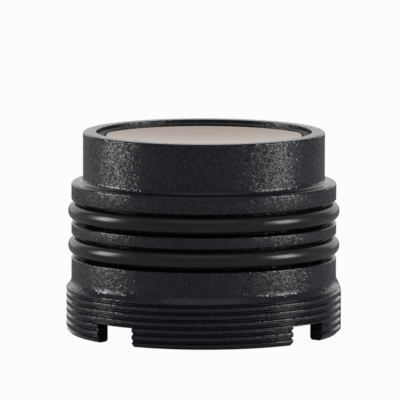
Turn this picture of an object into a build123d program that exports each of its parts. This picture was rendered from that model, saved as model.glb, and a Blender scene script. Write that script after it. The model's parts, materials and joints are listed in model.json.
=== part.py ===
from build123d import *
from math import ceil, copysign, radians, sqrt, tan
import os

os.makedirs("parts", exist_ok=True)

# Thermal infrared lens standing on its threaded rear end, front element up.
# Z is the optical axis, z = 0 is the rear face, and all sizes are in millimetres.

# Barrel outside, from the rear face to the front rim
thread_dia = 38.0
thread_pitch = 1.0
thread_angle = 60.0
thread_length = 6.25
thread_phase = 0.18
thread_chamfer = 0.55
land_step = 0.7
flare_angle = 40.0
flare_round = 1.2
lower_land_width = 3.4
band_width = 1.6
flange_width = 2.45
flange_edge_round = 0.4
groove_edge_round = 0.2
nose_step = 1.6
nose_length = 6.95
nose_root_round = 0.65
rim_round = 0.3
rim_inner_break = 0.1

# Body O-rings and their grooves
body_ring_section = 2.4
body_ring_proud = 0.45
body_ring_side_room = 0.75

# Spanner slots in the rear rim
slot_count = 4
slot_width = 6.2
slot_depth = 2.62
slot_angle = 49.5

# Barrel walls and steps, each measured inwards from the surface outside it
nose_wall = 1.8
seat_width = 2.2
seat_thickness = 1.9
cell_bore_step = 0.9
rear_wall = 2.15
rear_bore_chamfer = 0.3

# Fits: radial clearance of turned pieces and of lenses, and the bevel on loose edges
turned_fit = 0.03
lens_fit = 0.03
front_lens_fit = 0.1
edge_bevel = 0.12

# Front lens, held by a screwed ring from the front
front_ring_recess = 0.45
front_ring_thickness = 1.5
front_ring_width = 1.15
washer_thickness = 0.15
front_lens_sunk = 0.1
front_lens_edge = 2.9
front_lens_hollow = 0.38
front_lens_dome = 1.16
front_lens_back_rim = 0.4
front_lens_bevel = 0.15
front_seal_section = 0.9
front_seal_room = 0.2

# Lens cell: tube with a flange, a shim behind the barrel's shoulder and a lock ring
cell_front_gap = 0.2
cell_wall = 1.8
cell_flange_thickness = 1.4
shim_thickness = 0.3
shim_side_room = 0.2
lock_ring_thickness = 1.6
lock_ring_width = 2.55
cell_ring_section = 1.0
cell_ring_room = 0.4
cell_ring_from_front = 2.4

# Baffle disc in the mouth of the cell
baffle_thickness = 0.4
baffle_overhang = 1.4
baffle_ledge = 0.7
baffle_gap = 1.0

# Inside the cell, from the middle ring back to the rear ring
retainer_thickness = 1.5
retainer_width = 1.5
middle_lens_edge = 2.2
middle_lens_dome = 0.96
middle_lens_hollow = 1.19
middle_lens_rim = 1.5
cell_ledge_thickness = 1.2
cell_ledge_width = 2.6
stop_thickness = 0.3
stop_width = 5.2
stop_bevel = 0.15
stop_spacer_length = 3.4
stop_spacer_wall = 1.1
rear_lens_edge = 2.0
rear_lens_dome = 2.82
rear_lens_hollow = 1.11
rear_lens_rim = 1.4
rear_retainer_recess = 0.85

# Two-pin slots in the retaining rings
ring_slot_width = 1.2
ring_slot_depth = 0.6

# Radii worked out inwards from the thread
thread_sharp_height = thread_pitch / 2 / tan(radians(thread_angle / 2))
thread_depth = thread_sharp_height * 17 / 24
thread_r = thread_dia / 2
thread_root_r = thread_r - thread_depth
land_r = thread_r - land_step
nose_r = land_r - nose_step
groove_floor_r = land_r + body_ring_proud - body_ring_section
rear_bore_r = thread_r - rear_wall
front_bore_r = nose_r - nose_wall
seat_hole_r = front_bore_r - seat_width
cell_bore_r = front_bore_r - cell_bore_step
cell_inner_r = cell_bore_r - cell_wall
cell_r = cell_bore_r - turned_fit
cell_flange_r = rear_bore_r - turned_fit
cell_groove_floor_r = cell_bore_r - cell_ring_section
cell_ledge_hole_r = cell_inner_r - cell_ledge_width
cell_piece_r = cell_inner_r - turned_fit
cell_lens_r = cell_inner_r - lens_fit
baffle_pocket_r = cell_inner_r + baffle_ledge
retainer_hole_r = cell_inner_r - retainer_width
front_ring_hole_r = front_bore_r - front_ring_width
front_lens_r = front_bore_r - front_lens_fit

# Heights of the outside, upwards from the rear face
groove_width = body_ring_section + body_ring_side_room
flare_top = thread_length + land_step / tan(radians(flare_angle))
rear_groove_bottom = flare_top + lower_land_width
rear_groove_top = rear_groove_bottom + groove_width
front_groove_bottom = rear_groove_top + band_width
front_groove_top = front_groove_bottom + groove_width
ledge = front_groove_top + flange_width
rim = ledge + nose_length

# Heights of the inside, downwards from the rim: the rear hollow takes what length is left
front_ring_top = rim - front_ring_recess
front_ring_bottom = front_ring_top - front_ring_thickness
front_washer_bottom = front_ring_bottom - washer_thickness
seat_top = front_washer_bottom - front_lens_edge
seat_bottom = seat_top - seat_thickness
cell_front = seat_bottom - cell_front_gap
cell_groove_middle = cell_front - cell_ring_from_front
cell_groove_half = (cell_ring_section + cell_ring_room) / 2
baffle_bottom = cell_front - baffle_thickness
middle_ring_top = baffle_bottom - baffle_gap
middle_ring_bottom = middle_ring_top - retainer_thickness
middle_lens_top = middle_ring_bottom - washer_thickness
cell_ledge_top = middle_lens_top - middle_lens_edge
cell_ledge_bottom = cell_ledge_top - cell_ledge_thickness
stop_bottom = cell_ledge_bottom - stop_thickness
rear_lens_top = stop_bottom - stop_spacer_length
rear_lens_bottom = rear_lens_top - rear_lens_edge
rear_ring_top = rear_lens_bottom - washer_thickness
rear_ring_bottom = rear_ring_top - retainer_thickness
cell_flange_bottom = rear_ring_bottom - rear_retainer_recess
cell_flange_top = cell_flange_bottom + cell_flange_thickness
rear_shoulder = cell_flange_top + shim_thickness
lock_ring_bottom = cell_flange_bottom - lock_ring_thickness


def lens_face(rim_r, rim_z, rise):
    """Middle, halfway and rim points of a spherical face whose middle stands rise above its rim."""
    curve_r = (rim_r**2 + rise**2) / (2 * rise)
    halfway_fall = curve_r - copysign(sqrt(curve_r**2 - (rim_r / 2) ** 2), rise)
    return (0, rim_z + rise), (rim_r / 2, rim_z + rise - halfway_fall), (rim_r, rim_z)


# One turn of the thread's groove: it starts a pitch below its first place, and the barrel
# repeats it until it has run out through the flare
groove_start = thread_phase - thread_pitch
groove_turns = ceil((flare_top + thread_pitch / 2 - groove_start) / thread_pitch)
flank = tan(radians(thread_angle / 2))
crest_flat = thread_pitch / 8
cutter_depth = thread_depth + thread_pitch / 4
root_half = (thread_pitch - crest_flat) / 2 - thread_depth * flank
mouth_half = root_half + cutter_depth * flank
with BuildPart() as groove_turn:
    with BuildLine() as groove_path:
        Helix(pitch=thread_pitch, height=thread_pitch, radius=thread_root_r, center=(0, 0, groove_start))
    with BuildSketch(Plane(origin=groove_path.line @ 0, x_dir=(1, 0, 0), z_dir=groove_path.line % 0)):
        with BuildLine():
            Polyline(
                (0, -root_half),
                (cutter_depth, -mouth_half),
                (cutter_depth, mouth_half),
                (0, root_half),
                close=True,
            )
        make_face()
    sweep(path=groove_path.line, is_frenet=True)

# Barrel: turned profile, helical thread, spanner slots
with BuildPart() as barrel:
    outline = [
        ((thread_r - thread_chamfer, 0), 0),
        ((thread_r, thread_chamfer), 0),
        ((thread_r, thread_length), 0),
        ((land_r, flare_top), flare_round),
        ((land_r, rear_groove_bottom), groove_edge_round),
        ((groove_floor_r, rear_groove_bottom), groove_edge_round),
        ((groove_floor_r, rear_groove_top), groove_edge_round),
        ((land_r, rear_groove_top), groove_edge_round),
        ((land_r, front_groove_bottom), groove_edge_round),
        ((groove_floor_r, front_groove_bottom), groove_edge_round),
        ((groove_floor_r, front_groove_top), groove_edge_round),
        ((land_r, front_groove_top), groove_edge_round),
        ((land_r, ledge), flange_edge_round),
        ((nose_r, ledge), nose_root_round),
        ((nose_r, rim), rim_round),
        ((front_bore_r + rim_inner_break, rim), 0),
        ((front_bore_r, rim - rim_inner_break), 0),
        ((front_bore_r, seat_top), 0),
        ((seat_hole_r, seat_top), 0),
        ((seat_hole_r, seat_bottom), 0),
        ((cell_bore_r, seat_bottom), 0),
        ((cell_bore_r, rear_shoulder), 0),
        ((rear_bore_r, rear_shoulder), 0),
        ((rear_bore_r, rear_bore_chamfer), 0),
        ((rear_bore_r + rear_bore_chamfer, 0), 0),
    ]
    with BuildSketch(Plane.XZ):
        with BuildLine():
            FilletPolyline([point for point, _ in outline], radius=[r for _, r in outline], close=True)
        make_face()
    revolve(axis=Axis.Z)

    seal_mid_r = (seat_hole_r + front_bore_r) / 2
    seal_half = (front_seal_section + front_seal_room) / 2
    with BuildSketch(Plane.XY.offset(seat_top)):
        Circle(seal_mid_r + seal_half)
        Circle(seal_mid_r - seal_half, mode=Mode.SUBTRACT)
    extrude(amount=-front_seal_section, mode=Mode.SUBTRACT)

    for turn in range(groove_turns):
        with Locations((0, 0, turn * thread_pitch)):
            add(groove_turn.part, mode=Mode.SUBTRACT)

    wall = thread_r - rear_bore_r
    with BuildSketch():
        with PolarLocations((thread_r + rear_bore_r) / 2, slot_count, start_angle=slot_angle):
            Rectangle(3 * wall, slot_width)
    extrude(amount=slot_depth, mode=Mode.SUBTRACT)
barrel.part.label = "barrel"
export_step(barrel.part, "parts/barrel.step")

# Lens cell: flanged tube with a ledge, a baffle pocket and an O-ring groove
with BuildPart() as lens_cell:
    with BuildSketch(Plane.XZ):
        with BuildLine():
            Polyline(
                (cell_inner_r, cell_flange_bottom),
                (cell_flange_r, cell_flange_bottom),
                (cell_flange_r, cell_flange_top),
                (cell_r, cell_flange_top),
                (cell_r, cell_groove_middle - cell_groove_half),
                (cell_groove_floor_r, cell_groove_middle - cell_groove_half),
                (cell_groove_floor_r, cell_groove_middle + cell_groove_half),
                (cell_r, cell_groove_middle + cell_groove_half),
                (cell_r, cell_front - edge_bevel),
                (cell_r - edge_bevel, cell_front),
                (baffle_pocket_r, cell_front),
                (baffle_pocket_r, baffle_bottom),
                (cell_inner_r, baffle_bottom),
                (cell_inner_r, cell_ledge_top),
                (cell_ledge_hole_r, cell_ledge_top),
                (cell_ledge_hole_r, cell_ledge_bottom),
                (cell_inner_r, cell_ledge_bottom),
                close=True,
            )
        make_face()
    revolve(axis=Axis.Z)
lens_cell.part.label = "lens_cell"
export_step(lens_cell.part, "parts/lens_cell.step")

# O-rings: centre-line radius, height and section
front_groove_middle = (front_groove_bottom + front_groove_top) / 2
rear_groove_middle = (rear_groove_bottom + rear_groove_top) / 2
body_ring_r = groove_floor_r + body_ring_section / 2
o_rings = {
    "front_body_o_ring": (body_ring_r, front_groove_middle, body_ring_section),
    "rear_body_o_ring": (body_ring_r, rear_groove_middle, body_ring_section),
    "cell_o_ring": (cell_groove_floor_r + cell_ring_section / 2, cell_groove_middle, cell_ring_section),
    "front_lens_seal": (seal_mid_r, seat_top - front_seal_section / 2, front_seal_section),
}
for name, (centre_r, height, section) in o_rings.items():
    with BuildPart() as o_ring:
        with BuildSketch(Plane.XZ):
            with Locations((centre_r, height)):
                Circle(section / 2)
        revolve(axis=Axis.Z)
    o_ring.part.label = name
    export_step(o_ring.part, f"parts/{name}.step")

# Retaining rings with two slots: outer radius, hole radius, bottom, top, and the slotted face
retaining_rings = {
    "front_retaining_ring": (
        front_bore_r - turned_fit, front_ring_hole_r, front_ring_bottom, front_ring_top, "front"),
    "middle_retaining_ring": (
        cell_piece_r, retainer_hole_r, middle_ring_bottom, middle_ring_top, "front"),
    "rear_retaining_ring": (
        cell_piece_r, retainer_hole_r, rear_ring_bottom, rear_ring_top, "rear"),
    "cell_lock_ring": (
        rear_bore_r - turned_fit, rear_bore_r - lock_ring_width,
        lock_ring_bottom, cell_flange_bottom, "rear"),
}
for name, (outer_r, hole_r, bottom, top, slotted) in retaining_rings.items():
    with BuildPart() as retaining_ring:
        with BuildSketch(Plane.XY.offset(bottom)):
            Circle(outer_r)
            Circle(hole_r, mode=Mode.SUBTRACT)
        extrude(amount=top - bottom)
        slotted_face = top if slotted == "front" else bottom
        chamfer(
            retaining_ring.edges().filter_by_position(Axis.Z, slotted_face - 0.01, slotted_face + 0.01),
            edge_bevel,
        )
        into_ring = -1 if slotted == "front" else 1
        with BuildSketch(Plane.XY.offset(slotted_face)):
            with PolarLocations((outer_r + hole_r) / 2, 2, start_angle=90):
                Rectangle(outer_r - hole_r + 1, ring_slot_width)
        extrude(amount=into_ring * ring_slot_depth, mode=Mode.SUBTRACT)
    retaining_ring.part.label = name
    export_step(retaining_ring.part, f"parts/{name}.step")

# Plain rings: outer radius, hole radius, bottom, top
washer_hole_r = retainer_hole_r + edge_bevel
plain_rings = {
    "front_lens_washer": (
        front_lens_r, front_ring_hole_r, front_washer_bottom, front_ring_bottom),
    "middle_lens_washer": (cell_piece_r, washer_hole_r, middle_lens_top, middle_ring_bottom),
    "rear_lens_washer": (cell_piece_r, washer_hole_r, rear_ring_top, rear_lens_bottom),
    "focus_shim": (
        rear_bore_r - shim_side_room, cell_bore_r + shim_side_room, cell_flange_top, rear_shoulder),
    "stop_spacer": (cell_piece_r, cell_piece_r - stop_spacer_wall, rear_lens_top, stop_bottom),
}
for name, (outer_r, hole_r, bottom, top) in plain_rings.items():
    with BuildPart() as plain_ring:
        with BuildSketch(Plane.XY.offset(bottom)):
            Circle(outer_r)
            Circle(hole_r, mode=Mode.SUBTRACT)
        extrude(amount=top - bottom)
    plain_ring.part.label = name
    export_step(plain_ring.part, f"parts/{name}.step")

# Baffle and aperture stop: discs whose hole is bevelled to a thin edge
bevelled_discs = {
    "front_baffle": (baffle_pocket_r - turned_fit, cell_inner_r - baffle_overhang, baffle_bottom, cell_front),
    "aperture_stop": (cell_piece_r, cell_inner_r - stop_width, stop_bottom, cell_ledge_bottom),
}
for name, (outer_r, hole_r, bottom, top) in bevelled_discs.items():
    with BuildPart() as disc:
        with BuildSketch(Plane.XZ):
            with BuildLine():
                Polyline(
                    (hole_r, bottom),
                    (outer_r, bottom),
                    (outer_r, top),
                    (hole_r + stop_bevel, top),
                    (hole_r, top - stop_bevel),
                    close=True,
                )
            make_face()
        revolve(axis=Axis.Z)
    disc.part.label = name
    export_step(disc.part, f"parts/{name}.step")

# Front lens: stepped edge, weakly hollow front face, domed back
front_step_r = front_ring_hole_r - front_lens_fit
front_step_top = front_ring_top - front_lens_sunk
with BuildPart() as front_lens:
    with BuildSketch(Plane.XZ):
        with BuildLine():
            front_face = lens_face(front_step_r - front_lens_bevel, front_step_top, -front_lens_hollow)
            back_face = lens_face(seat_hole_r - front_lens_back_rim, seat_top, -front_lens_dome)
            ThreePointArc(*front_face)
            Polyline(
                front_face[-1],
                (front_step_r, front_step_top - front_lens_bevel),
                (front_step_r, front_washer_bottom),
                (front_lens_r, front_washer_bottom),
                (front_lens_r, seat_top),
                back_face[-1],
            )
            ThreePointArc(*back_face)
            Line(back_face[0], front_face[0])
        make_face()
    revolve(axis=Axis.Z)
front_lens.part.label = "front_lens"
export_step(front_lens.part, "parts/front_lens.step")

# Middle and rear lenses: bottom, top, flat rim width, dome of the front face, hollow of the back face
cell_lenses = {
    "middle_lens": (
        cell_ledge_top, middle_lens_top, middle_lens_rim, middle_lens_dome, middle_lens_hollow),
    "rear_lens": (rear_lens_bottom, rear_lens_top, rear_lens_rim, rear_lens_dome, rear_lens_hollow),
}
for name, (bottom, top, flat_rim, dome, hollow) in cell_lenses.items():
    with BuildPart() as cell_lens:
        with BuildSketch(Plane.XZ):
            with BuildLine():
                front_face = lens_face(cell_lens_r - flat_rim, top, dome)
                back_face = lens_face(cell_lens_r - 2 * flat_rim, bottom, hollow)
                ThreePointArc(*front_face)
                Polyline(front_face[-1], (cell_lens_r, top), (cell_lens_r, bottom), back_face[-1])
                ThreePointArc(*back_face)
                Line(back_face[0], front_face[0])
            make_face()
        revolve(axis=Axis.Z)
    cell_lens.part.label = name
    export_step(cell_lens.part, f"parts/{name}.step")
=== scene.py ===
import json
from math import atan2, cos, pi, radians, sin, sqrt, tan

import bmesh
import bpy
from mathutils import Matrix, Vector


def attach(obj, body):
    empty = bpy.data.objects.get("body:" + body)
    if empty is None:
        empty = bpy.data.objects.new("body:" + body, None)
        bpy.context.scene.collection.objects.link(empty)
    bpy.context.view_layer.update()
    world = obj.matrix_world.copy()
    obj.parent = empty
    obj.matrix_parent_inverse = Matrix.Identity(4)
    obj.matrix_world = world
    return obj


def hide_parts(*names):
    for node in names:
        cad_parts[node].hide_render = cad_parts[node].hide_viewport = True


# Thermal infrared lens, standing on its rear end. The sizes below are in millimetres; MM turns them
# into the frame's metres.
MM = 0.001

# The rear thread, as in the solids but shallower, because its roots look filled and softened
THREAD_R = 19.0
THREAD_PITCH = 1.0
THREAD_DEPTH = 0.3
THREAD_PHASE = 0.18
THREAD_LENGTH = 6.25
LEAD_IN_R = 18.45
FLANK_ANGLE = radians(60)
# The root's width is a share of the pitch, and the roundings are shares of the depth
ROOT_WIDTH_SHARE = 1 / 6
ROOT_ROUNDING_SHARE = 0.4
CREST_ROUNDING_SHARE = 0.35

# The flare above the thread, and how softly it runs into the land
FLARE_FALL = 0.8391
FLARE_TOP = 7.0842
FLARE_BLEND = 0.6

# The spanner slots in the rear rim
SLOT_COUNT = 4
FIRST_SLOT_ANGLE = radians(49.5)
SLOT_WIDTH = 6.2
SLOT_DEPTH = 2.62
SLOT_MIDDLE_R = 17.9
SLOT_LENGTH = 6.0
SLOT_OVERCUT = 1.0

# The rest of the barrel, as in the solids
LAND_R = 18.3
GROOVE_R = 16.35
GROOVE_WIDTH = 3.15
LOWER_LAND = 3.4
BAND = 1.6
FLANGE = 2.45
NOSE_R = 16.7
NOSE_LENGTH = 6.95
FRONT_BORE_R = 14.9
SEAT_HOLE_R = 12.7
SEAT_TOP = 22.784
SEAT_BOTTOM = 20.884
CELL_BORE_R = 14.0
SHOULDER = 7.734
REAR_BORE_R = 16.85
REAR_CHAMFER = 0.3
GROOVE_EDGE_ROUNDING = 0.2
LEDGE_EDGE_ROUNDING = 0.4
NOSE_ROOT_ROUNDING = 0.65
RIM_EDGE_ROUNDING = 0.3

# The O-rings in the outside grooves
O_RING_MIDDLE_R = 17.55
O_RING_SECTION_R = 1.2

REAR_GROOVE_LOW = FLARE_TOP + LOWER_LAND
REAR_GROOVE_TOP = REAR_GROOVE_LOW + GROOVE_WIDTH
FRONT_GROOVE_LOW = REAR_GROOVE_TOP + BAND
FRONT_GROOVE_TOP = FRONT_GROOVE_LOW + GROOVE_WIDTH
LEDGE = FRONT_GROOVE_TOP + FLANGE
RIM = LEDGE + NOSE_LENGTH

# The front retaining ring, the washer under it and the front lens
RING_R = FRONT_BORE_R - 0.03
RING_HOLE_R = 13.75
RING_TOP = RIM - 0.45
RING_LOW = RING_TOP - 1.5
RING_SLOT_WIDTH = 1.2
RING_SLOT_DEPTH = 0.6
RING_SLOT_MIDDLE_R = 14.3
RING_SLOT_LENGTH = 2.2
WASHER_LOW = RING_LOW - 0.15
LENS_R = 14.8
LENS_NECK_R = 13.65
LENS_FRONT_R = 13.5
LENS_FRONT_RISE = -0.38
LENS_FRONT_HEIGHT = RING_TOP - 0.1
LENS_NECK_TOP = LENS_FRONT_HEIGHT - 0.15
LENS_BACK_R = 12.3
LENS_BACK_RISE = -1.16

# Heights in metres that the bump maps stand for
PIT_HEIGHT = 0.00004
MARK_HEIGHT = 0.00003
WAVE_HEIGHT = 0.00005

# The camera: a long lens that looks slightly down on the object
CAMERA_DISTANCE = 0.85
CAMERA_TILT = radians(7.2785)
CAMERA_ROLL = radians(0.103)
CAMERA_TARGET = Vector((0, 0, 0.014))
FOCAL_LENGTH = 553.28
SENSOR_WIDTH = 36
SHIFT = (-0.0095, 0.0757)

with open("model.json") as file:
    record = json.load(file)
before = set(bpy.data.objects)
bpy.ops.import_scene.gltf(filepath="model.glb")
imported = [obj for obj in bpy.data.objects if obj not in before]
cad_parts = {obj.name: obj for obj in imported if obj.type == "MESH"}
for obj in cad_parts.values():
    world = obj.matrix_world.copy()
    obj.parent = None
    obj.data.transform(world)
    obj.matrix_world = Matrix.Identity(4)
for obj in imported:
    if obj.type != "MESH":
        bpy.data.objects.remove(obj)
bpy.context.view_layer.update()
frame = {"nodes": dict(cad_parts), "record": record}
nodes = frame["nodes"]
scene = bpy.context.scene


# Node helpers
def link(tree, source, target):
    tree.links.new(source, target)


def math_node(tree, operation, *values):
    """Adds a maths node whose inputs are numbers or other nodes' outputs, and gives its output."""
    node = tree.nodes.new("ShaderNodeMath")
    node.operation = operation
    for socket, value in zip(node.inputs, values):
        if isinstance(value, (int, float)):
            socket.default_value = value
        else:
            link(tree, value, socket)
    return node.outputs[0]


def tree_input(tree, name, kind, value=None):
    socket = tree.interface.new_socket(name, in_out="INPUT", socket_type=kind)
    if value is not None:
        socket.default_value = value
    return socket


def start_tree(tree):
    """Adds the finish and the end that every geometry tree has, and gives its inputs by name."""
    tree_input(tree, "Material", "NodeSocketMaterial")
    tree.interface.new_socket("Geometry", in_out="OUTPUT", socket_type="NodeSocketGeometry")
    start = tree.nodes.new("NodeGroupInput")
    start.name = "start"
    return {socket.name: socket for socket in start.outputs}


def finish_tree(tree, geometry):
    """Ends a geometry tree in real geometry with its material."""
    real = tree.nodes.new("GeometryNodeRealizeInstances")
    link(tree, geometry, real.inputs["Geometry"])
    dressed = tree.nodes.new("GeometryNodeSetMaterial")
    link(tree, real.outputs[0], dressed.inputs["Geometry"])
    link(tree, tree.nodes["start"].outputs["Material"], dressed.inputs["Material"])
    end = tree.nodes.new("NodeGroupOutput")
    link(tree, dressed.outputs[0], end.inputs["Geometry"])


def modify(obj, tree, **values):
    """Runs a geometry tree on an object and keeps the result as its plain mesh."""
    modifier = obj.modifiers.new(tree.name, "NODES")
    modifier.node_group = tree
    for item in tree.interface.items_tree:
        if item.item_type == "SOCKET" and item.in_out == "INPUT" and item.name in values:
            modifier[item.identifier] = values[item.name]
    graph = bpy.context.evaluated_depsgraph_get()
    graph.update()
    mesh = bpy.data.meshes.new_from_object(obj.evaluated_get(graph), preserve_all_data_layers=True,
                                           depsgraph=graph)
    obj.modifiers.remove(modifier)
    old = obj.data
    obj.data = mesh
    bpy.data.meshes.remove(old)
    mesh.name = obj.name


# Materials
def shader(name, **values):
    """A material with one Principled surface whose plain values are set by socket name."""
    material = bpy.data.materials.new(name)
    material.use_nodes = True
    surface = material.node_tree.nodes["Principled BSDF"]
    for socket, value in values.items():
        surface.inputs[socket.replace("_", " ")].default_value = value
    return material, material.node_tree, surface


def vector_math(tree, operation, *values):
    node = tree.nodes.new("ShaderNodeVectorMath")
    node.operation = operation
    for socket, value in zip(node.inputs, values):
        if isinstance(value, tuple):
            socket.default_value = value
        else:
            link(tree, value, socket)
    return node


def group_output(group, name, kind):
    group.interface.new_socket(name, in_out="OUTPUT", socket_type=kind)


def start_group(name, values):
    """A shader group with number inputs, and its start and end."""
    group = bpy.data.node_groups.new(name, "ShaderNodeTree")
    for label, value in values.items():
        tree_input(group, label, "NodeSocketFloat", value)
    group_output(group, "Normal", "NodeSocketVector")
    group_output(group, "Roughness", "NodeSocketFloat")
    group_output(group, "Mask", "NodeSocketFloat")
    start = group.nodes.new("NodeGroupInput")
    end = group.nodes.new("NodeGroupOutput")
    return group, {socket.name: socket for socket in start.outputs}, end


def noise(tree, spot, scale, detail=2.0):
    node = tree.nodes.new("ShaderNodeTexNoise")
    link(tree, spot, node.inputs["Vector"])
    if isinstance(scale, (int, float)):
        node.inputs["Scale"].default_value = scale
    else:
        link(tree, scale, node.inputs["Scale"])
    node.inputs["Detail"].default_value = detail
    return node.outputs[0]


def spread_about(tree, middle, spread, mask):
    """A value that strays from its middle by half its spread either way, as the mask goes from 0 to 1."""
    return math_node(tree, "MULTIPLY_ADD", math_node(tree, "SUBTRACT", mask, 0.5), spread, middle)


def grain_group():
    """Bead-blasted grain: small dents that each lean their own way, with finer pits between them."""
    group, value, end = start_group("blasted_grain", {
        "Grains per metre": 6000.0, "Lean": 0.15, "Pits": 0.2, "Roughness": 0.4, "Roughness Spread": 0.2,
        "Sparkle Share": 0.12})
    spot = group.nodes.new("ShaderNodeTexCoord").outputs["Object"]
    cells = group.nodes.new("ShaderNodeTexVoronoi")
    link(group, spot, cells.inputs["Vector"])
    link(group, value["Grains per metre"], cells.inputs["Scale"])

    # How far a face tilts off the upright walls, and how near it is to a rounded edge or a flank
    face = group.nodes.new("ShaderNodeNewGeometry")
    parts = group.nodes.new("ShaderNodeSeparateXYZ")
    link(group, face.outputs["Normal"], parts.inputs[0])
    tilt = math_node(group, "ABSOLUTE", parts.outputs["Z"])
    worn = math_node(group, "POWER", tilt, 0.8)
    upright = math_node(group, "SUBTRACT", 1.0, worn)
    edge = math_node(group, "MULTIPLY", math_node(group, "MULTIPLY", tilt, 4.0),
                     math_node(group, "SUBTRACT", 1.0, tilt))
    split = group.nodes.new("ShaderNodeSeparateColor")
    link(group, cells.outputs["Color"], split.inputs[0])
    red, green, blue = split.outputs[:3]
    sparkle = math_node(group, "LESS_THAN", blue, value["Sparkle Share"])

    # Each grain leans its own way, a sparkle twice as far, and the tilted faces are worn flat
    full_lean = math_node(group, "MULTIPLY", value["Lean"], math_node(group, "ADD", sparkle, 1.0))
    lean = math_node(group, "MULTIPLY", full_lean, math_node(group, "MULTIPLY_ADD", upright, 1.8, 0.2))
    centred = vector_math(group, "SUBTRACT", cells.outputs["Color"], (0.5, 0.5, 0.5))
    leant = vector_math(group, "SCALE", centred.outputs[0])
    link(group, lean, leant.inputs["Scale"])

    # Tilted faces, edges and sparkles are smoother than the walls
    tilt_polish = math_node(group, "MULTIPLY_ADD", tilt, -0.4, 1.0)
    worn_polish = math_node(group, "MULTIPLY_ADD", edge, -0.55, tilt_polish)
    sparkle_polish = math_node(group, "MULTIPLY_ADD", sparkle, -0.55, 1.0)
    polish = math_node(group, "MULTIPLY", worn_polish, sparkle_polish)
    smoothed = math_node(group, "MULTIPLY", value["Roughness"], polish)
    spread = math_node(group, "MULTIPLY", value["Roughness Spread"], upright)

    bump = group.nodes.new("ShaderNodeBump")
    link(group, value["Pits"], bump.inputs["Strength"])
    bump.inputs["Distance"].default_value = PIT_HEIGHT
    pits_per_metre = math_node(group, "MULTIPLY", value["Grains per metre"], 1.7)
    pits = noise(group, spot, pits_per_metre)
    link(group, math_node(group, "MULTIPLY", pits, upright), bump.inputs["Height"])
    total = vector_math(group, "ADD", bump.outputs["Normal"], leant.outputs[0])
    unit = vector_math(group, "NORMALIZE", total.outputs[0])
    link(group, unit.outputs[0], end.inputs["Normal"])
    link(group, spread_about(group, smoothed, spread, red), end.inputs["Roughness"])
    link(group, green, end.inputs["Mask"])
    group_output(group, "Sparkle", "NodeSocketFloat")
    link(group, sparkle, end.inputs["Sparkle"])
    return group


def turning_group():
    """Fine rings left by a lathe tool, on faces and bores about the Z axis."""
    group, value, end = start_group("turning_marks", {
        "Marks per metre": 6000.0, "Depth": 0.2, "Roughness": 0.4, "Roughness Spread": 0.15})
    spot = group.nodes.new("ShaderNodeTexCoord").outputs["Object"]
    flat = vector_math(group, "MULTIPLY", spot, (1.0, 1.0, 0.0))
    radius = vector_math(group, "LENGTH", flat.outputs[0]).outputs["Value"]
    parts = group.nodes.new("ShaderNodeSeparateXYZ")
    link(group, spot, parts.inputs[0])
    along = group.nodes.new("ShaderNodeTexNoise")
    along.noise_dimensions = "1D"
    link(group, math_node(group, "ADD", radius, parts.outputs["Z"]), along.inputs["W"])
    link(group, value["Marks per metre"], along.inputs["Scale"])
    bump = group.nodes.new("ShaderNodeBump")
    link(group, value["Depth"], bump.inputs["Strength"])
    bump.inputs["Distance"].default_value = MARK_HEIGHT
    link(group, along.outputs[0], bump.inputs["Height"])
    link(group, bump.outputs["Normal"], end.inputs["Normal"])
    link(group, spread_about(group, value["Roughness"], value["Roughness Spread"], along.outputs[0]),
         end.inputs["Roughness"])
    link(group, along.outputs[0], end.inputs["Mask"])
    return group


def mottle_group():
    """Soft unevenness of moulded or coated surfaces: shallow waves, and patches of more or less shine."""
    group, value, end = start_group("mottle", {
        "Patches per metre": 900.0, "Waves": 0.1, "Roughness": 0.4, "Roughness Spread": 0.2})
    spot = group.nodes.new("ShaderNodeTexCoord").outputs["Object"]
    patches = noise(group, spot, value["Patches per metre"])
    fine = noise(group, spot, math_node(group, "MULTIPLY", value["Patches per metre"], 6.0), detail=3.0)
    bump = group.nodes.new("ShaderNodeBump")
    link(group, value["Waves"], bump.inputs["Strength"])
    bump.inputs["Distance"].default_value = WAVE_HEIGHT
    link(group, fine, bump.inputs["Height"])
    link(group, bump.outputs["Normal"], end.inputs["Normal"])
    link(group, spread_about(group, value["Roughness"], value["Roughness Spread"], patches),
         end.inputs["Roughness"])
    link(group, patches, end.inputs["Mask"])
    return group


def finish(name, group, dark, light, values, **surface_values):
    """A material whose normal, roughness and colour follow one of the groups above."""
    material, tree, surface = shader(name, **surface_values)
    node = tree.nodes.new("ShaderNodeGroup")
    node.node_tree = group
    for label, value in values.items():
        node.inputs[label].default_value = value
    tones = tree.nodes.new("ShaderNodeMix")
    tones.data_type = "RGBA"
    tones.inputs["A"].default_value = (*dark, 1)
    tones.inputs["B"].default_value = (*light, 1)
    link(tree, node.outputs["Mask"], tones.inputs["Factor"])
    link(tree, tones.outputs["Result"], surface.inputs["Base Color"])
    link(tree, node.outputs["Normal"], surface.inputs["Normal"])
    link(tree, node.outputs["Roughness"], surface.inputs["Roughness"])
    return material


def add_sparkles(material, colour):
    """Turns the grains marked as sparkles into small spots of bare metal."""
    tree = material.node_tree
    surface = tree.nodes["Principled BSDF"]
    sparkle = tree.nodes["Group"].outputs["Sparkle"]
    tones = surface.inputs["Base Color"].links[0].from_socket
    spots = tree.nodes.new("ShaderNodeMix")
    spots.data_type = "RGBA"
    link(tree, sparkle, spots.inputs["Factor"])
    link(tree, tones, spots.inputs["A"])
    spots.inputs["B"].default_value = (*colour, 1)
    link(tree, spots.outputs["Result"], surface.inputs["Base Color"])
    link(tree, sparkle, surface.inputs["Metallic"])


blasted_grain = grain_group()
turning_marks = turning_group()
mottle = mottle_group()

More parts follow.
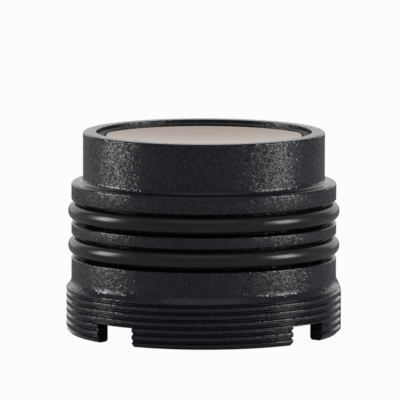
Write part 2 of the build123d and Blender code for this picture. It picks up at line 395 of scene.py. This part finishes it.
blasted = finish(
    "blasted_black_anodise", blasted_grain, (0.0050, 0.0072, 0.0118), (0.0078, 0.0094, 0.0145),
    {"Grains per metre": 6200.0, "Lean": 0.17, "Pits": 0.15, "Roughness": 0.4, "Roughness Spread": 0.22,
     "Sparkle Share": 0.12}, IOR=1.5)
add_sparkles(blasted, (0.085, 0.085, 0.092))
black = finish(
    "turned_black_anodise", turning_marks, (0.008, 0.008, 0.010), (0.012, 0.012, 0.014),
    {"Marks per metre": 7000.0, "Depth": 0.25, "Roughness": 0.55, "Roughness Spread": 0.2}, IOR=1.5)
rubber = finish(
    "o_ring_rubber", mottle, (0.007, 0.008, 0.009), (0.013, 0.013, 0.014),
    {"Patches per metre": 700.0, "Waves": 0.12, "Roughness": 0.24, "Roughness Spread": 0.14}, IOR=1.5)
germanium = finish(
    "coated_germanium", mottle, (0.26, 0.22, 0.20), (0.31, 0.24, 0.21),
    {"Patches per metre": 90.0, "Waves": 0.0, "Roughness": 0.03, "Roughness Spread": 0.02},
    Metallic=1.0, Specular_Tint=(0.68, 0.62, 0.57, 1))
film = finish(
    "black_film", mottle, (0.015, 0.015, 0.016), (0.024, 0.024, 0.024),
    {"Patches per metre": 500.0, "Waves": 0.05, "Roughness": 0.6, "Roughness Spread": 0.1}, IOR=1.5)
steel = finish(
    "rolled_steel", turning_marks, (0.44, 0.44, 0.46), (0.54, 0.54, 0.55),
    {"Marks per metre": 3000.0, "Depth": 0.1, "Roughness": 0.35, "Roughness Spread": 0.15}, Metallic=1.0)


# Turned shapes
def rounded(corners, steps=4):
    """A closed profile from (r, z, rounding) corners, each corner with its own radius."""
    points = []
    count = len(corners)
    for i, (r, z, rounding) in enumerate(corners):
        here = Vector((r, z))
        if not rounding:
            points.append((r, z))
            continue
        before = (Vector(corners[i - 1][:2]) - here).normalized()
        after = (Vector(corners[(i + 1) % count][:2]) - here).normalized()
        half = before.angle(after) / 2
        reach = rounding / tan(half)
        centre = here + (before + after).normalized() * (rounding / sin(half))
        first = here + before * reach - centre
        last = here + after * reach - centre
        start = atan2(first.y, first.x)
        turn = atan2(last.y, last.x) - start
        turn = (turn + pi) % (2 * pi) - pi
        for step in range(steps + 1):
            a = start + turn * step / steps
            points.append((centre.x + rounding * cos(a), centre.y + rounding * sin(a)))
    return points


def turned(name, profile, columns, closed=True):
    """A piece turned from a profile of (r, z) points in millimetres; points on the axis become one."""
    verts = []
    rings = []
    for r, z in profile:
        if r < 1e-6:
            rings.append([len(verts)] * columns)
            verts.append((0, 0, z * MM))
        else:
            rings.append(list(range(len(verts), len(verts) + columns)))
            for c in range(columns):
                a = 2 * pi * c / columns
                verts.append((r * cos(a) * MM, r * sin(a) * MM, z * MM))
    faces = []
    pairs = list(zip(rings, rings[1:]))
    if closed:
        pairs.append((rings[-1], rings[0]))
    for low, high in pairs:
        for c in range(columns):
            d = (c + 1) % columns
            face = []
            for v in (low[c], low[d], high[d], high[c]):
                if v not in face:
                    face.append(v)
            if len(face) > 2:
                faces.append(face)
    mesh = bpy.data.meshes.new(name)
    mesh.from_pydata(verts, [], faces)
    piece = bpy.data.objects.new(name, mesh)
    scene.collection.objects.link(piece)
    return piece


def tidy_mesh(piece, sharp_from=32):
    """Merges doubles, turns the faces outwards and shades smooth between sharp edges."""
    mesh = piece.data
    shell = bmesh.new()
    shell.from_mesh(mesh)
    bmesh.ops.remove_doubles(shell, verts=shell.verts, dist=1e-7)
    bmesh.ops.dissolve_degenerate(shell, edges=shell.edges, dist=1e-7)
    bmesh.ops.recalc_face_normals(shell, faces=shell.faces)
    shell.to_mesh(mesh)
    shell.free()
    mesh.polygons.foreach_set("use_smooth", [True] * len(mesh.polygons))
    mesh.set_sharp_from_angle(angle=radians(sharp_from))
    mesh.update()


def thread_tree():
    """Cuts a right-hand thread into a turned piece whose threaded rows carry the value "threaded"."""
    tree = bpy.data.node_groups.new("cut_thread", "GeometryNodeTree")
    tree_input(tree, "Geometry", "NodeSocketGeometry")
    for name in ("Crest Radius", "Pitch", "Depth", "Phase", "Length", "Lead-in Radius", "Flare Fall",
                 "Land Radius", "Blend", "Top"):
        tree_input(tree, name, "NodeSocketFloat", 1.0)
    value = start_tree(tree)

    position = tree.nodes.new("GeometryNodeInputPosition")
    parts = tree.nodes.new("ShaderNodeSeparateXYZ")
    link(tree, position.outputs[0], parts.inputs[0])
    angle = math_node(tree, "ARCTAN2", parts.outputs["Y"], parts.outputs["X"])
    around = math_node(tree, "DIVIDE", math_node(tree, "WRAP", angle, 2 * pi, -1e-5), 2 * pi)

    # A threaded row climbs one pitch a turn, and stops at the rear face and at the flare's top
    climbed = math_node(tree, "MULTIPLY_ADD", value["Pitch"], around, parts.outputs["Z"])
    height = math_node(tree, "MINIMUM", math_node(tree, "MAXIMUM", climbed, 0.0), value["Top"])

    # The turned outside: lead-in chamfer, crest cylinder, flare and the blend into the land
    lead_in = math_node(tree, "ADD", value["Lead-in Radius"], height)
    past_crest = math_node(tree, "SUBTRACT", height, value["Length"])
    flare = math_node(tree, "SUBTRACT", value["Crest Radius"],
                      math_node(tree, "MULTIPLY", past_crest, value["Flare Fall"]))
    run_out = math_node(tree, "SMOOTH_MAX", flare, value["Land Radius"], value["Blend"])
    lower = math_node(tree, "MINIMUM", lead_in, value["Crest Radius"])
    outside = math_node(tree, "MINIMUM", lower, run_out)

    # The groove: a trapezoid whose middle follows the helix
    turns = math_node(tree, "DIVIDE", math_node(tree, "SUBTRACT", height, value["Phase"]), value["Pitch"])
    place = math_node(tree, "SUBTRACT", turns, around)
    nearest = math_node(tree, "ROUND", place)
    off_middle = math_node(tree, "ABSOLUTE", math_node(tree, "SUBTRACT", place, nearest))
    past_root = math_node(tree, "SUBTRACT", off_middle, ROOT_WIDTH_SHARE / 2)
    off_root = math_node(tree, "MULTIPLY", past_root, value["Pitch"])
    flank = math_node(tree, "MULTIPLY", off_root, tan(FLANK_ANGLE))
    root_rounding = math_node(tree, "MULTIPLY", value["Depth"], ROOT_ROUNDING_SHARE)
    risen = math_node(tree, "SMOOTH_MAX", flank, 0.0, root_rounding)
    root = math_node(tree, "SUBTRACT", value["Crest Radius"], value["Depth"])
    groove = math_node(tree, "ADD", root, risen)
    crest_rounding = math_node(tree, "MULTIPLY", value["Depth"], CREST_ROUNDING_SHARE)
    cut = math_node(tree, "SMOOTH_MIN", groove, outside, crest_rounding)

    place_new = tree.nodes.new("ShaderNodeCombineXYZ")
    link(tree, math_node(tree, "MULTIPLY", cut, math_node(tree, "COSINE", angle)), place_new.inputs["X"])
    link(tree, math_node(tree, "MULTIPLY", cut, math_node(tree, "SINE", angle)), place_new.inputs["Y"])
    link(tree, height, place_new.inputs["Z"])

    threaded = tree.nodes.new("GeometryNodeInputNamedAttribute")
    threaded.data_type = "FLOAT"
    threaded.inputs["Name"].default_value = "threaded"
    on_thread = tree.nodes.new("FunctionNodeCompare")
    on_thread.data_type = "FLOAT"
    on_thread.operation = "GREATER_THAN"
    link(tree, threaded.outputs["Attribute"], on_thread.inputs["A"])
    on_thread.inputs["B"].default_value = 0.5
    moved = tree.nodes.new("GeometryNodeSetPosition")
    link(tree, value["Geometry"], moved.inputs["Geometry"])
    link(tree, on_thread.outputs["Result"], moved.inputs["Selection"])
    link(tree, place_new.outputs[0], moved.inputs["Position"])
    merged = tree.nodes.new("GeometryNodeMergeByDistance")
    merged.inputs["Distance"].default_value = 1e-7
    link(tree, moved.outputs[0], merged.inputs["Geometry"])
    finish_tree(tree, merged.outputs[0])
    return tree


def slot_tree():
    """Cuts straight slots across a round piece, evenly spaced about its axis."""
    tree = bpy.data.node_groups.new("cut_slots", "GeometryNodeTree")
    tree_input(tree, "Geometry", "NodeSocketGeometry")
    tree_input(tree, "Slots", "NodeSocketInt", 4)
    for name in ("Radius", "Start Angle", "Length", "Width", "Low", "High"):
        tree_input(tree, name, "NodeSocketFloat", 1.0)
    value = start_tree(tree)

    ring = tree.nodes.new("GeometryNodeMeshCircle")
    link(tree, value["Slots"], ring.inputs["Vertices"])
    link(tree, value["Radius"], ring.inputs["Radius"])
    spot = tree.nodes.new("GeometryNodeInputPosition")
    parts = tree.nodes.new("ShaderNodeSeparateXYZ")
    link(tree, spot.outputs[0], parts.inputs[0])
    turn = tree.nodes.new("ShaderNodeCombineXYZ")
    link(tree, math_node(tree, "ARCTAN2", parts.outputs["Y"], parts.outputs["X"]), turn.inputs["Z"])

    tongue = tree.nodes.new("GeometryNodeMeshCube")
    size = tree.nodes.new("ShaderNodeCombineXYZ")
    tall = math_node(tree, "SUBTRACT", value["High"], value["Low"])
    link(tree, value["Length"], size.inputs["X"])
    link(tree, value["Width"], size.inputs["Y"])
    link(tree, tall, size.inputs["Z"])
    link(tree, size.outputs[0], tongue.inputs["Size"])
    place = tree.nodes.new("GeometryNodeInstanceOnPoints")
    link(tree, ring.outputs["Mesh"], place.inputs["Points"])
    link(tree, tongue.outputs["Mesh"], place.inputs["Instance"])
    link(tree, turn.outputs[0], place.inputs["Rotation"])
    real = tree.nodes.new("GeometryNodeRealizeInstances")
    link(tree, place.outputs[0], real.inputs["Geometry"])

    lift = tree.nodes.new("ShaderNodeCombineXYZ")
    link(tree, math_node(tree, "MULTIPLY", math_node(tree, "ADD", value["High"], value["Low"]), 0.5),
         lift.inputs["Z"])
    swing = tree.nodes.new("ShaderNodeCombineXYZ")
    link(tree, value["Start Angle"], swing.inputs["Z"])
    cutter = tree.nodes.new("GeometryNodeTransform")
    link(tree, real.outputs[0], cutter.inputs["Geometry"])
    link(tree, lift.outputs[0], cutter.inputs["Translation"])
    link(tree, swing.outputs[0], cutter.inputs["Rotation"])

    cut = tree.nodes.new("GeometryNodeMeshBoolean")
    cut.operation = "DIFFERENCE"
    cut.solver = "EXACT"
    link(tree, value["Geometry"], cut.inputs["Mesh 1"])
    link(tree, cutter.outputs[0], cut.inputs["Mesh 2"])
    finish_tree(tree, cut.outputs["Mesh"])
    return tree


cut_thread = thread_tree()
cut_slots = slot_tree()


def make_barrel():
    columns = 400
    rows_per_pitch = 14
    upper = rounded([
        (LAND_R, REAR_GROOVE_LOW, GROOVE_EDGE_ROUNDING),
        (GROOVE_R, REAR_GROOVE_LOW, GROOVE_EDGE_ROUNDING),
        (GROOVE_R, REAR_GROOVE_TOP, GROOVE_EDGE_ROUNDING),
        (LAND_R, REAR_GROOVE_TOP, GROOVE_EDGE_ROUNDING),
        (LAND_R, FRONT_GROOVE_LOW, GROOVE_EDGE_ROUNDING),
        (GROOVE_R, FRONT_GROOVE_LOW, GROOVE_EDGE_ROUNDING),
        (GROOVE_R, FRONT_GROOVE_TOP, GROOVE_EDGE_ROUNDING),
        (LAND_R, FRONT_GROOVE_TOP, GROOVE_EDGE_ROUNDING),
        (LAND_R, LEDGE, LEDGE_EDGE_ROUNDING),
        (NOSE_R, LEDGE, NOSE_ROOT_ROUNDING),
        (NOSE_R, RIM, RIM_EDGE_ROUNDING),
        (FRONT_BORE_R, RIM, 0.1),
        (FRONT_BORE_R, SEAT_TOP, 0),
        (SEAT_HOLE_R, SEAT_TOP, 0),
        (SEAT_HOLE_R, SEAT_BOTTOM, 0),
        (CELL_BORE_R, SEAT_BOTTOM, 0),
        (CELL_BORE_R, SHOULDER, 0),
        (REAR_BORE_R, SHOULDER, 0.15),
        (REAR_BORE_R, REAR_CHAMFER, 0),
        (REAR_BORE_R + REAR_CHAMFER, 0, 0),
        (LAND_R, 0, 0),
    ], steps=5)
    # The last corner only steers the rounding; the threaded rows take its place
    upper = upper[:-1]
    # The rows start a pitch below the rear face, since they climb a pitch on their way round
    top = FLARE_TOP + 0.5
    row_gap = THREAD_PITCH / rows_per_pitch
    first = -THREAD_PITCH
    rows = int((top - first) / row_gap) + 2
    threaded = [(THREAD_R, first + row_gap * i) for i in range(rows)]
    barrel = turned("lens_barrel", threaded + upper, columns)
    flag = barrel.data.attributes.new("threaded", "FLOAT", "POINT")
    flag.data.foreach_set("value", [1.0] * (rows * columns) + [0.0] * (len(upper) * columns))
    modify(barrel, cut_thread, **{
        "Crest Radius": THREAD_R * MM,
        "Pitch": THREAD_PITCH * MM,
        "Depth": THREAD_DEPTH * MM,
        "Phase": THREAD_PHASE * MM,
        "Length": THREAD_LENGTH * MM,
        "Lead-in Radius": LEAD_IN_R * MM,
        "Flare Fall": FLARE_FALL,
        "Land Radius": LAND_R * MM,
        "Blend": FLARE_BLEND * MM,
        "Top": top * MM,
        "Material": blasted,
    })
    modify(barrel, cut_slots, **{
        "Slots": SLOT_COUNT,
        "Radius": SLOT_MIDDLE_R * MM,
        "Start Angle": FIRST_SLOT_ANGLE,
        "Length": SLOT_LENGTH * MM,
        "Width": SLOT_WIDTH * MM,
        "Low": -SLOT_OVERCUT * MM,
        "High": SLOT_DEPTH * MM,
        "Material": blasted,
    })
    tidy_mesh(barrel)
    return barrel


def make_front_ring():
    ring = turned("front_ring", rounded([
        (RING_R, RING_LOW, 0.05),
        (RING_R, RING_TOP, 0.12),
        (RING_HOLE_R, RING_TOP, 0.1),
        (RING_HOLE_R, RING_LOW, 0.05),
    ], steps=3), columns=240)
    modify(ring, cut_slots, **{
        "Slots": 2,
        "Radius": RING_SLOT_MIDDLE_R * MM,
        "Start Angle": radians(90),
        "Length": RING_SLOT_LENGTH * MM,
        "Width": RING_SLOT_WIDTH * MM,
        "Low": (RING_TOP - RING_SLOT_DEPTH) * MM,
        "High": (RING_TOP + RING_SLOT_DEPTH) * MM,
        "Material": black,
    })
    tidy_mesh(ring)
    return ring


def bowl(edge_r, edge_z, rise, steps):
    """Profile points of a spherical face, from its rim to the axis."""
    curve = (edge_r ** 2 + rise ** 2) / (2 * rise)
    points = []
    for i in range(steps + 1):
        r = edge_r * (1 - i / steps)
        fall = abs(curve) - sqrt(curve ** 2 - r ** 2)
        points.append((r, edge_z + rise - (fall if rise > 0 else -fall)))
    return points


def make_front_lens():
    front = bowl(LENS_FRONT_R, LENS_FRONT_HEIGHT, LENS_FRONT_RISE, steps=24)
    back = bowl(LENS_BACK_R, SEAT_TOP, LENS_BACK_RISE, steps=20)
    side = [
        (LENS_R, SEAT_TOP),
        (LENS_R, WASHER_LOW),
        (LENS_NECK_R, WASHER_LOW),
        (LENS_NECK_R, LENS_NECK_TOP),
    ]
    lens = turned("front_element", back[::-1] + side + front, columns=240, closed=False)
    tidy_mesh(lens, sharp_from=20)
    return lens


def make_o_ring(name, middle_z):
    profile = []
    steps = 40
    for i in range(steps):
        a = 2 * pi * i / steps
        r = O_RING_MIDDLE_R + O_RING_SECTION_R * cos(a)
        profile.append((r, middle_z + O_RING_SECTION_R * sin(a)))
    ring = turned(name, profile, columns=320)
    tidy_mesh(ring, sharp_from=60)
    return ring


# Pieces that take the place of solids, then a procedural look for the solids that stay
front_groove_middle = (FRONT_GROOVE_LOW + FRONT_GROOVE_TOP) / 2
rear_groove_middle = (REAR_GROOVE_LOW + REAR_GROOVE_TOP) / 2
pieces = [
    (make_barrel(), "barrel", blasted, "blasted_black_aluminium"),
    (make_front_ring(), "front_retaining_ring", black, "turned_black_aluminium"),
    (make_front_lens(), "front_lens", germanium, "coated_germanium"),
    (make_o_ring("front_o_ring", front_groove_middle), "front_body_o_ring", rubber, "black_rubber"),
    (make_o_ring("rear_o_ring", rear_groove_middle), "rear_body_o_ring", rubber, "black_rubber"),
]
for piece, node, material, slot in pieces:
    piece.data.materials.clear()
    piece.data.materials.append(material)
    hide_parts(node)
    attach(piece, "root")

looks = {
    "turned_black_aluminium": black,
    "black_rubber": rubber,
    "coated_germanium": germanium,
    "black_film": film,
    "steel_shim": steel,
}
for part in frame["record"]["subparts"]:
    look = looks.get(part["material_slot"])
    node = nodes[part["node"]]
    if look and not node.hide_render:
        for place in node.material_slots:
            place.material = look


# Floor, backdrop and lights
def sheet(name, corners, material):
    mesh = bpy.data.meshes.new(name)
    mesh.from_pydata(corners, [], [(0, 1, 2, 3)])
    mesh.materials.append(material)
    obj = bpy.data.objects.new(name, mesh)
    scene.collection.objects.link(obj)


def white_where_seen(name, colour, whiteness, glossy):
    """A pale matt surface that looks whiter than its light makes it; what is left of it shows shadows."""
    material = bpy.data.materials.new(name)
    material.use_nodes = True
    tree = material.node_tree
    tree.nodes.clear()
    end = tree.nodes.new("ShaderNodeOutputMaterial")
    matt = tree.nodes.new("ShaderNodeBsdfDiffuse")
    matt.inputs["Color"].default_value = (colour, colour, colour, 1)
    glow = tree.nodes.new("ShaderNodeEmission")
    glow.inputs["Color"].default_value = (1, 1, 1, 1)
    rays = tree.nodes.new("ShaderNodeLightPath")
    seen = rays.outputs["Is Camera Ray"]
    if glossy:
        mirrored = math_node(tree, "MAXIMUM", seen, rays.outputs["Is Glossy Ray"])
        seen = math_node(tree, "MAXIMUM", mirrored, rays.outputs["Is Transmission Ray"])
    mix = tree.nodes.new("ShaderNodeMixShader")
    link(tree, math_node(tree, "MULTIPLY", seen, whiteness), mix.inputs[0])
    link(tree, matt.outputs[0], mix.inputs[1])
    link(tree, glow.outputs[0], mix.inputs[2])
    # Nothing of the sheet shows from behind, so the object can be looked at from below
    clear = tree.nodes.new("ShaderNodeBsdfTransparent")
    side = tree.nodes.new("ShaderNodeNewGeometry")
    two_sided = tree.nodes.new("ShaderNodeMixShader")
    from_behind = math_node(tree, "MULTIPLY", side.outputs["Backfacing"], rays.outputs["Is Camera Ray"])
    link(tree, from_behind, two_sided.inputs[0])
    link(tree, mix.outputs[0], two_sided.inputs[1])
    link(tree, clear.outputs[0], two_sided.inputs[2])
    link(tree, two_sided.outputs[0], end.inputs["Surface"])
    return material


# Just under the rear face, so that the two never lie in one plane
floor_z = -0.00005
sheet("floor", [(-4, -4, floor_z), (4, -4, floor_z), (4, 4, floor_z), (-4, 4, floor_z)],
      white_where_seen("pale_floor", colour=0.6, whiteness=0.96, glossy=False))
sheet("backdrop", [(-1.4, 1.6, 0), (1.4, 1.6, 0), (1.4, 1.6, 2.6), (-1.4, 1.6, 2.6)],
      white_where_seen("pale_backdrop", colour=0.8, whiteness=1.0, glossy=True))


def softbox(name, azimuth, elevation, distance, width, height, power):
    """A soft lamp that faces the object; azimuth 0 is the camera's side and 90 is +X."""
    lamp = bpy.data.lights.new(name, "AREA")
    lamp.shape = "RECTANGLE"
    lamp.size = width
    lamp.size_y = height
    lamp.energy = power
    obj = bpy.data.objects.new(name, lamp)
    a, e = radians(azimuth), radians(elevation)
    away = Vector((sin(a) * cos(e), -cos(a) * cos(e), sin(e)))
    turn = away.to_track_quat("Z", "Y").to_matrix().to_4x4()
    obj.matrix_world = Matrix.Translation(CAMERA_TARGET + away * distance) @ turn
    scene.collection.objects.link(obj)


softbox("left_softbox", azimuth=-94, elevation=16, distance=0.6, width=0.2, height=0.32, power=1.55)
softbox("right_softbox", azimuth=74, elevation=16, distance=0.6, width=0.22, height=0.32, power=1.65)
softbox("top_softbox", azimuth=0, elevation=62, distance=1.2, width=1.2, height=0.9, power=0.9)

# The room's dim light falls on the object, and the camera sees plain white past the backdrop
world = bpy.data.worlds.new("studio")
scene.world = world
world.use_nodes = True
sky = world.node_tree
rays = sky.nodes.new("ShaderNodeLightPath")
room = sky.nodes["Background"]
room.inputs["Color"].default_value = (0.9, 0.95, 1.0, 1)
room.inputs["Strength"].default_value = 0.25
white = sky.nodes.new("ShaderNodeBackground")
white.inputs["Color"].default_value = (1, 1, 1, 1)
choose = sky.nodes.new("ShaderNodeMixShader")
link(sky, rays.outputs["Is Camera Ray"], choose.inputs[0])
link(sky, room.outputs[0], choose.inputs[1])
link(sky, white.outputs[0], choose.inputs[2])
link(sky, choose.outputs[0], sky.nodes["World Output"].inputs["Surface"])

# The camera itself
camera_data = bpy.data.cameras.new("camera")
camera_data.lens = FOCAL_LENGTH
camera_data.sensor_width = SENSOR_WIDTH
camera_data.shift_x, camera_data.shift_y = SHIFT
camera_data.clip_start = 0.01
camera = bpy.data.objects.new("camera", camera_data)
scene.collection.objects.link(camera)
away = Vector((0, -cos(CAMERA_TILT), sin(CAMERA_TILT)))
right = Vector((1, 0, 0))
up = away.cross(right)
rolled_right = right * cos(CAMERA_ROLL) + up * sin(CAMERA_ROLL)
rolled_up = up * cos(CAMERA_ROLL) - right * sin(CAMERA_ROLL)
turn = Matrix((rolled_right, rolled_up, away)).transposed().to_4x4()
camera.matrix_world = Matrix.Translation(CAMERA_TARGET + away * CAMERA_DISTANCE) @ turn
scene.camera = camera
scene.view_settings.view_transform = "Standard"
